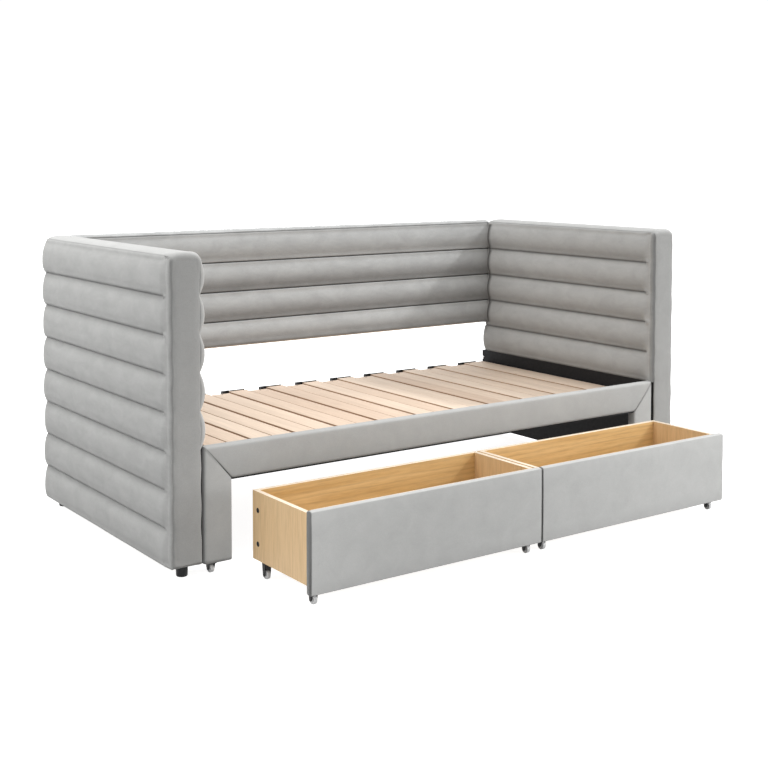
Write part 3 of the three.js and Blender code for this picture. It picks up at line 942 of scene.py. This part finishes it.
def slats():
    fixed_low, fixed_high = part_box("fixed_slats_left")
    slide_low, slide_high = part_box("sliding_slats_left")
    right_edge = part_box("sliding_slats_right")[1].x
    top = fixed_high.z
    under = slide_low.z
    first = -SLATS_EACH_SIDE
    random = np.random.default_rng(5)
    for kind, body, start, low_y, high_y in (
            ("fixed", "bed_base", first - 1, fixed_low.y, fixed_high.y),
            ("sliding", "front_frame", first, slide_low.y, slide_high.y)):
        for order, index in enumerate(range(start, SLATS_EACH_SIDE + 1, 2)):
            group = ("left", "middle", "right")[min(order // 4, 2)]
            left = index * PITCH + SLAT_GAP / 2
            if index < first:
                left = -right_edge
            right = right_edge if index == SLATS_EACH_SIDE else (index + 1) * PITCH - SLAT_GAP / 2
            play = random.uniform(-0.8, 0.8) * MM
            lift = RAISED if kind == "sliding" else 0
            name = f"{kind}_slat_{order + 1:02d}"
            surface = top + play * 0.2 + lift
            slat = board(name, (left + play * 0.3, low_y, under + lift),
                         (right + play * 0.3, high_y + play, surface), BIRCH, 2 * MM)
            keep(slat, body, "slat_wood", f"{kind}_slats_{group}")
            spots = []
            if kind == "fixed":
                spots = [((left + right) / 2, high_y - 16 * MM)]
            if index == SLATS_EACH_SIDE:
                spots = [(left + 16 * MM, high_y - 22 * MM), (right - 20 * MM, high_y - 22 * MM)]
            for number, (x, y) in enumerate(spots):
                screw(f"{name}_screw_{number + 1}", (x, y, surface), body)
    for group in ("left", "middle", "right"):
        low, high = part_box(f"fixed_slats_{group}")
        batten = board(f"fixed_batten_{group}", (low.x + 4 * MM, high_y - 78 * MM, low.z),
                       (high.x - 4 * MM, high_y - 58 * MM, under - 0.3 * MM), BIRCH, 1.2 * MM)
        keep(batten, "bed_base", "slat_wood", f"fixed_slats_{group}")
        low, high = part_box(f"sliding_slats_{group}")
        strip = board(f"sliding_strip_{group}", (low.x + 2 * MM, low.y - 0.5 * MM, under + RAISED),
                      (high.x - 2 * MM, low.y + 6 * MM, top), BIRCH, 0.8 * MM)
        keep(strip, "front_frame", "slat_wood", f"sliding_slats_{group}")


# ---- Drawers ----

BAND = 0.7 * MM  # how far the edge bands stand over the boards
BAND_INSET = 0.1 * MM
BOLT_SHARES = (0.27, 0.76)  # how far down the boards their bolts are


def drawer(label):
    body = f"{label}_drawer"
    low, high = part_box(f"{body}_front")
    middle = (low + high) / 2
    section = rounded_section(high.z - low.z, high.y - low.y, 3 * MM, 4, 6)
    reach = (high.x - low.x) / 2

    def place_front(along, across, deep):
        return np.stack([middle.x + along, middle.y + deep, middle.z + across], axis=-1)

    wrapped_bar(f"{body}_front", body, section, lambda a: -reach, lambda a: reach, place_front,
                51, 60, end_shade=0.6)

    boxes = []
    for part in ("left_side", "right_side", "back"):
        node = f"{body}_{part}"
        dress(node, OAK_Z if part != "back" else OAK_X, 0.8 * MM)
        a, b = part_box(node)
        boxes.append(((a.x + BAND_INSET, a.y + BAND_INSET, b.z - 0.3 * MM),
                      (b.x - BAND_INSET, b.y - BAND_INSET, b.z + BAND)))
    dress(f"{body}_base", OAK_X, 0.5 * MM)
    inside_low, inside_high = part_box(f"{body}_base")
    keep(several_boards(f"{body}_edge_bands", boxes, EDGE_BAND, 0.5 * MM), body, "drawer_wood")
    a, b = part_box(f"{body}_left_side")
    liner = board(f"{body}_front_liner", (inside_low.x, high.y - 1 * MM, b.z - 170 * MM),
                  (inside_high.x, high.y + 6 * MM, high.z - 1.5 * MM), EDGE_BAND, 1.0 * MM)
    keep(liner, body, "drawer_wood")
    right_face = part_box(f"{body}_right_side")[1].x
    for side_label, x, axis in (("left", a.x, "-x"), ("right", right_face, "x")):
        for number, share in enumerate(BOLT_SHARES):
            cam_bolt(f"{body}_{side_label}_bolt_{number + 1}",
                     (x, b.y - 30 * MM, b.z - (b.z - a.z) * share), axis, body)


def cam_bolt(name, centre, axis, body):
    """A black bolt sunk in the board, with a round recess."""
    r = 8 * MM
    profile = [(0, -2 * MM), (r, -2 * MM), (r, 0.2 * MM), (r * 0.9, 0.5 * MM),
               (r * 0.68, 0.4 * MM), (r * 0.62, 0.1 * MM), (0, 0.1 * MM)]
    keep(turned_piece(name, profile, 24, axis, centre, BLACK_PLASTIC), body, "black_steel")


def dress(node, material, radius):
    """A CAD node that stays: its material, and edges rounded by a modifier."""
    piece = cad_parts[node]
    piece.data.materials.clear()
    piece.data.materials.append(material)
    if radius:
        bevel(piece, radius, 2)


# ---- Casters ----

WHEEL_HALF = 6 * MM  # half a wheel's width
AXLE_RADIUS = 2.8 * MM


def caster(label, parent_body):
    """A wheel and its axle, and the fork that holds them."""
    low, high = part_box(f"{label}_wheel")
    centre = (low + high) / 2
    radius = (high.z - low.z) / 2
    half = WHEEL_HALF
    fork_low, fork_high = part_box(f"{label}_fork")
    face = [(0, -half + 0.6 * MM), (radius * 0.30, -half + 0.6 * MM),
            (radius * 0.34, -half + 1.4 * MM), (radius * 0.74, -half + 1.4 * MM),
            (radius * 0.80, -half), (radius * 0.93, -half)]
    tread = [(radius, -half + 1.6 * MM), (radius, half - 1.6 * MM)]
    profile = face + tread + [(r, -h) for r, h in face[::-1]]
    wheel = turned_piece(f"{label}_wheel_turned", profile, 40, "x", centre, WHEEL_GREY)
    bevel(wheel, 0.4 * MM, 2)
    keep(wheel, f"{label}_wheel", "wheel_plastic", f"{label}_wheel")

    reach = 1.1 * half + 2 * MM
    profile = [(0, -reach), (AXLE_RADIUS, -reach), (AXLE_RADIUS, reach), (0, reach)]
    axle = turned_piece(f"{label}_axle", profile, 20, "x", centre, BLACK_PLASTIC)
    keep(axle, f"{label}_wheel", "black_plastic")

    plate = ((fork_low.x, fork_low.y, fork_high.z - 3 * MM), (fork_high.x, fork_high.y, fork_high.z))
    outline = []
    drop = fork_high.z - 2 * MM
    for k in range(13):
        a = math.pi * k / 12
        outline.append((centre.y - 5.5 * MM * math.cos(a), centre.z - 5.5 * MM * math.sin(a)))
    outline = [(centre.y - 12 * MM, drop)] + outline + [(centre.y + 12 * MM, drop)]
    neck_low = (centre.x - half - 2.5 * MM, centre.y - 11.5 * MM, centre.z + radius + 1.5 * MM)
    neck_high = (centre.x + half + 2.5 * MM, centre.y + 11.5 * MM, drop)
    points = box_points(*plate) + box_points(neck_low, neck_high)
    faces = BOX_FACES + [tuple(8 + i for i in face) for face in BOX_FACES]
    for side in (-1, 1):
        near = centre.x + side * (half + 2 * MM)
        far = centre.x + side * (half + 5 * MM)
        first = len(points)
        count = len(outline)
        points += [(near, y, z) for y, z in outline] + [(far, y, z) for y, z in outline]
        faces.append(tuple(first + k for k in range(count)))
        faces.append(tuple(first + count + k for k in range(count))[::-1])
        for k in range(count):
            m = (k + 1) % count
            faces.append((first + k, first + count + k, first + count + m, first + m))
    fork = make_piece(f"{label}_fork_bracket", points, faces, BLACK_PLASTIC, smooth=False)
    outward(fork)
    bevel(fork, 0.7 * MM, 2)
    keep(fork, parent_body, "black_plastic", f"{label}_fork")


# ---- Feet, bolts and the plain pieces ----

def foot(node):
    low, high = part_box(node)
    centre = (low + high) / 2
    r = (high.x - low.x) / 2
    tall = high.z - low.z
    profile = [(0, 0), (r * 0.86, 0), (r * 0.92, 1.2 * MM), (r * 0.97, 3 * MM), (r, tall * 0.5),
               (r, tall - 3 * MM), (r * 0.96, tall), (0, tall)]
    piece = turned_piece(f"{node}_turned", profile, 48, "z", (centre.x, centre.y, low.z),
                         BLACK_PLASTIC)
    keep(piece, "bed_base", "black_plastic", node)


def bolt(side, label):
    node = f"{label}_side_bolt"
    low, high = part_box(node)
    centre = (low + high) / 2
    r = (high.z - low.z) / 2
    tall = high.x - low.x
    profile = [(0, 0), (r, 0), (r, tall * 0.2), (r * 0.93, tall * 0.55), (r * 0.7, tall * 0.9),
               (r * 0.46, tall * 0.97), (r * 0.40, tall * 0.45), (0, tall * 0.45)]
    seat, axis = (high.x, "-x") if side > 0 else (low.x, "x")
    piece = turned_piece(f"{node}_head", profile, 36, axis, (seat, centre.y, centre.z), ZINC)
    keep(piece, "bed_base", "bolt_zinc", node)


def plain_nodes():
    for label in ("left", "right"):
        dress(f"{label}_arm_panel", PLYWOOD, 0)
        dress(f"{label}_side_board", BLACK_BOARD, 1.0 * MM)
        dress(f"{label}_beam_hanger", BLACK_STEEL, 0.5 * MM)
    dress("backrest_panel", PLYWOOD, 0)
    dress("rear_rail", BLACK_BOARD, 1.0 * MM)
    dress("support_beam", BLACK_STEEL, 1.5 * MM)
    dress("front_rail_angle", BLACK_STEEL, 0.6 * MM)
    dress("slat_guide_rail", BLACK_PLASTIC, 0.8 * MM)
    dress("slat_ledger", BIRCH, 1.0 * MM)


# ---- Putting the bed together ----

def upholstery():
    sheets = []
    sewing = []
    for side, label in SIDES:
        panels, facts = arm_panels(side, label)
        sheets += [panels, gusset(side, label)]
        sewing.append((panels[0], facts))
    back, back_facts = backrest()
    sheets.append(back)
    inflate(sheets)
    for panels, facts in sewing:
        sew(panels, facts)
    sew_backrest(back[0], back_facts)
    for piece, _, _ in sheets:
        label = piece.name.split("_")[0]
        node = "backrest_upholstery" if label == "backrest" else f"{label}_arm_upholstery"
        if label != "backrest":
            shell = piece.modifiers.new("foam behind the cloth", "SOLIDIFY")
            shell.thickness = 5 * MM
            shell.offset = -1
        keep(piece, "bed_base", "velvet", node)


upholstery()
front_frame()
slats()
for side, label in SIDES:
    drawer(label)
    caster(f"{label}_leg", "front_frame")
    for corner in ("front_left", "front_right", "rear_left", "rear_right"):
        caster(f"{label}_drawer_{corner}", f"{label}_drawer")
    foot(f"{label}_front_foot")
    foot(f"{label}_rear_foot")
    bolt(side, label)
plain_nodes()


# ---- Floor, light and camera ----

FLOOR_HALF = 60
SKY = ((0.0, 0.255), (0.5, 0.16), (0.95, 1.72))  # brightness from straight down to straight up
WHITE_SEEN = 1.05  # what the camera sees past the floor


def stage():
    size = FLOOR_HALF
    points = [(-size, -size, 0), (size, -size, 0), (size, size, 0), (-size, size, 0)]
    pale = plain("pale_floor", (0.5, 0.5, 0.5), 0.9, 4, 0.02, Emission_Strength=0.9,
                 Emission_Color=(1, 1, 1, 1))
    floor = make_piece("floor", points, [(0, 1, 2, 3)], pale)
    floor.visible_diffuse = False  # the world's lower half is the light that comes off the floor

    world = bpy.data.worlds.new("studio")
    bpy.context.scene.world = world
    world.use_nodes = True
    tree = world.node_tree
    tree.nodes.clear()
    new = tree.nodes.new
    link = tree.links.new
    output = new("ShaderNodeOutputWorld")
    coordinates = new("ShaderNodeTexCoord")
    split = new("ShaderNodeSeparateXYZ")
    range_up = new("ShaderNodeMapRange")
    range_up.inputs["From Min"].default_value = -1
    ramp = new("ShaderNodeValToRGB")
    set_stops(ramp.color_ramp, SKY)
    sky = new("ShaderNodeBackground")
    seen = new("ShaderNodeBackground")
    seen.inputs["Color"].default_value = (1, 1, 1, 1)
    seen.inputs["Strength"].default_value = WHITE_SEEN
    path = new("ShaderNodeLightPath")
    mix = new("ShaderNodeMixShader")
    link(coordinates.outputs["Generated"], split.inputs[0])
    link(split.outputs["Z"], range_up.inputs["Value"])
    link(range_up.outputs["Result"], ramp.inputs["Fac"])
    link(ramp.outputs["Color"], sky.inputs["Color"])
    link(path.outputs["Is Camera Ray"], mix.inputs["Fac"])
    link(sky.outputs[0], mix.inputs[1])
    link(seen.outputs[0], mix.inputs[2])
    link(mix.outputs[0], output.inputs["Surface"])


def lamp(name, kind, place, target, energy, size):
    data = bpy.data.lights.new(name, kind)
    data.energy = energy
    if kind == "SUN":
        data.angle = size
    else:
        data.shape = "DISK"
        data.size = size
    light = bpy.data.objects.new(name, data)
    bpy.context.scene.collection.objects.link(light)
    light.location = place
    light.visible_camera = False
    direction = Vector(target) - light.location
    light.rotation_euler = direction.to_track_quat("-Z", "Y").to_euler()


def lights():
    lamp("key", "SUN", (2.4, -0.85, 2.0), (0, 0, 0), 2.05, math.radians(4))
    lamp("left_side", "AREA", (-3.1, 0.9, 1.35), (-1.1, 0.4, 0.9), 19.5, 1.2)
    lamp("left_above", "AREA", (-2.6, 0.4, 3.0), (0.6, 0.3, 0.5), 28, 1.2)
    lamp("front_right", "AREA", (1.3, -2.5, 0.6), (0.6, -0.6, 0.15), 29, 1.2)
    lamp("low_left", "AREA", (-1.25, -1.2, 0.15), (-0.98, -0.35, 0.2), 1.7, 0.5)


def camera():
    data = bpy.data.cameras.new("camera")
    data.sensor_width = 36
    data.lens = 59.3
    data.shift_x = 0.0087
    data.shift_y = -0.2087
    data.clip_end = 200
    eye = bpy.data.objects.new("camera", data)
    bpy.context.scene.collection.objects.link(eye)
    heading = math.radians(35.23)
    pitch = math.radians(3)
    eye.location = (-2.6896, -3.636, 1.2483)
    eye.rotation_euler = (math.pi / 2 - pitch, 0, -heading)
    bpy.context.scene.camera = eye


stage()
lights()
camera()
bpy.context.scene.view_settings.view_transform = "Standard"
